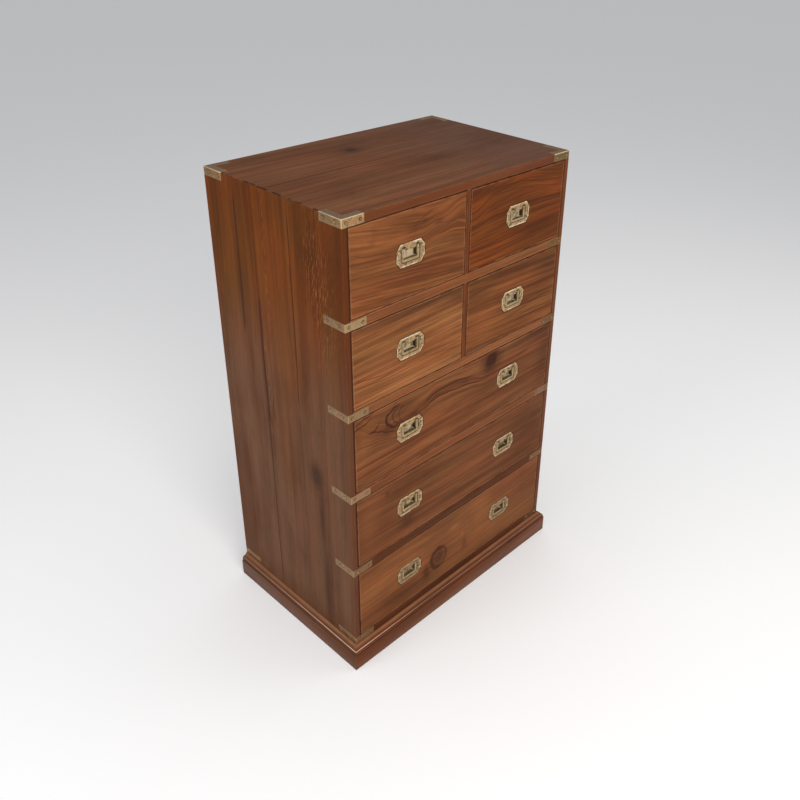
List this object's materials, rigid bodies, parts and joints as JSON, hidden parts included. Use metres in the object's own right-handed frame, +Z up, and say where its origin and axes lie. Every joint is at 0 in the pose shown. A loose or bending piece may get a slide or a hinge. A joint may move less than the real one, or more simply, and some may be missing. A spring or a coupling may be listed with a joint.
{
  "type": "campaign chest of drawers",
  "caption": "Upright wooden chest on a moulded plinth, with small drawers over full-width ones, flush bail handles and brass corner straps.",
  "frame": {"origin": "on the floor, under the middle of the overall box; the box is bounded by the plinth, which stands out at the front and sides and is flush at the back", "axes": "+Z up; the drawers open towards -Y; +X is to the right as seen from the front"},
  "size_m": [0.781, 0.503, 1.22],
  "materials": {
    "case_teak": "satin, waxed teak",
    "drawer_teak": "satin, waxed teak with bold figure",
    "lining_teak": "unpolished teak",
    "brass": "aged, dull brass"
  },
  "bodies": {
    "case": {"top_board": "case_teak", "left_side": "case_teak", "right_side": "case_teak", "bottom_board": "case_teak", "back_boards": "lining_teak", "rail_1": "case_teak", "rail_2": "case_teak", "rail_3": "case_teak", "rail_4": "case_teak", "upper_divider": "case_teak", "lower_divider": "case_teak", "side_runners": "lining_teak", "centre_runners": "lining_teak", "drawer_stops": "lining_teak", "plinth_front": "case_teak", "plinth_left": "case_teak", "plinth_right": "case_teak", "plinth_back": "case_teak", "plinth_blocks": "lining_teak", "corner_brackets": "brass", "corner_straps": "brass"},
    "top_left_drawer": {"top_left_front": "drawer_teak", "top_left_box": "lining_teak", "top_left_bottom": "lining_teak", "top_left_plates": "brass"},
    "top_left_bail": {"top_left_bail": "brass"},
    "top_right_drawer": {"top_right_front": "drawer_teak", "top_right_box": "lining_teak", "top_right_bottom": "lining_teak", "top_right_plates": "brass"},
    "top_right_bail": {"top_right_bail": "brass"},
    "second_left_drawer": {"second_left_front": "drawer_teak", "second_left_box": "lining_teak", "second_left_bottom": "lining_teak", "second_left_plates": "brass"},
    "second_left_bail": {"second_left_bail": "brass"},
    "second_right_drawer": {"second_right_front": "drawer_teak", "second_right_box": "lining_teak", "second_right_bottom": "lining_teak", "second_right_plates": "brass"},
    "second_right_bail": {"second_right_bail": "brass"},
    "upper_long_drawer": {"upper_long_front": "drawer_teak", "upper_long_box": "lining_teak", "upper_long_bottom": "lining_teak", "upper_long_plates": "brass"},
    "upper_long_left_bail": {"upper_long_left_bail": "brass"},
    "upper_long_right_bail": {"upper_long_right_bail": "brass"},
    "middle_long_drawer": {"middle_long_front": "drawer_teak", "middle_long_box": "lining_teak", "middle_long_bottom": "lining_teak", "middle_long_plates": "brass"},
    "middle_long_left_bail": {"middle_long_left_bail": "brass"},
    "middle_long_right_bail": {"middle_long_right_bail": "brass"},
    "lower_long_drawer": {"lower_long_front": "drawer_teak", "lower_long_box": "lining_teak", "lower_long_bottom": "lining_teak", "lower_long_plates": "brass"},
    "lower_long_left_bail": {"lower_long_left_bail": "brass"},
    "lower_long_right_bail": {"lower_long_right_bail": "brass"}
  },
  "joints": [
    {"name": "top_left_slide", "type": "slide", "parent": "case", "child": "top_left_drawer", "axis": [0, -1, 0], "range_m": [0, 0.33]},
    {"name": "top_left_bail_swing", "type": "hinge", "parent": "top_left_drawer", "child": "top_left_bail", "pos_m": [-0.18175, -0.2308, 1.11075], "axis": [-1, 0, 0], "range_deg": [0, 90]},
    {"name": "top_right_slide", "type": "slide", "parent": "case", "child": "top_right_drawer", "axis": [0, -1, 0], "range_m": [0, 0.33]},
    {"name": "top_right_bail_swing", "type": "hinge", "parent": "top_right_drawer", "child": "top_right_bail", "pos_m": [0.18175, -0.2308, 1.11075], "axis": [-1, 0, 0], "range_deg": [0, 90]},
    {"name": "second_left_slide", "type": "slide", "parent": "case", "child": "second_left_drawer", "axis": [0, -1, 0], "range_m": [0, 0.33]},
    {"name": "second_left_bail_swing", "type": "hinge", "parent": "second_left_drawer", "child": "second_left_bail", "pos_m": [-0.18175, -0.2308, 0.88325], "axis": [-1, 0, 0], "range_deg": [0, 90]},
    {"name": "second_right_slide", "type": "slide", "parent": "case", "child": "second_right_drawer", "axis": [0, -1, 0], "range_m": [0, 0.33]},
    {"name": "second_right_bail_swing", "type": "hinge", "parent": "second_right_drawer", "child": "second_right_bail", "pos_m": [0.18175, -0.2308, 0.88325], "axis": [-1, 0, 0], "range_deg": [0, 90]},
    {"name": "upper_long_slide", "type": "slide", "parent": "case", "child": "upper_long_drawer", "axis": [0, -1, 0], "range_m": [0, 0.33]},
    {"name": "upper_long_left_bail_swing", "type": "hinge", "parent": "upper_long_drawer", "child": "upper_long_left_bail", "pos_m": [-0.18175, -0.2308, 0.65775], "axis": [-1, 0, 0], "range_deg": [0, 90]},
    {"name": "upper_long_right_bail_swing", "type": "hinge", "parent": "upper_long_drawer", "child": "upper_long_right_bail", "pos_m": [0.18175, -0.2308, 0.65775], "axis": [-1, 0, 0], "range_deg": [0, 90]},
    {"name": "middle_long_slide", "type": "slide", "parent": "case", "child": "middle_long_drawer", "axis": [0, -1, 0], "range_m": [0, 0.33]},
    {"name": "middle_long_left_bail_swing", "type": "hinge", "parent": "middle_long_drawer", "child": "middle_long_left_bail", "pos_m": [-0.18175, -0.2308, 0.43225], "axis": [-1, 0, 0], "range_deg": [0, 90]},
    {"name": "middle_long_right_bail_swing", "type": "hinge", "parent": "middle_long_drawer", "child": "middle_long_right_bail", "pos_m": [0.18175, -0.2308, 0.43225], "axis": [-1, 0, 0], "range_deg": [0, 90]},
    {"name": "lower_long_slide", "type": "slide", "parent": "case", "child": "lower_long_drawer", "axis": [0, -1, 0], "range_m": [0, 0.33]},
    {"name": "lower_long_left_bail_swing", "type": "hinge", "parent": "lower_long_drawer", "child": "lower_long_left_bail", "pos_m": [-0.18175, -0.2308, 0.2045], "axis": [-1, 0, 0], "range_deg": [0, 90]},
    {"name": "lower_long_right_bail_swing", "type": "hinge", "parent": "lower_long_drawer", "child": "lower_long_right_bail", "pos_m": [0.18175, -0.2308, 0.2045], "axis": [-1, 0, 0], "range_deg": [0, 90]}
  ]
}
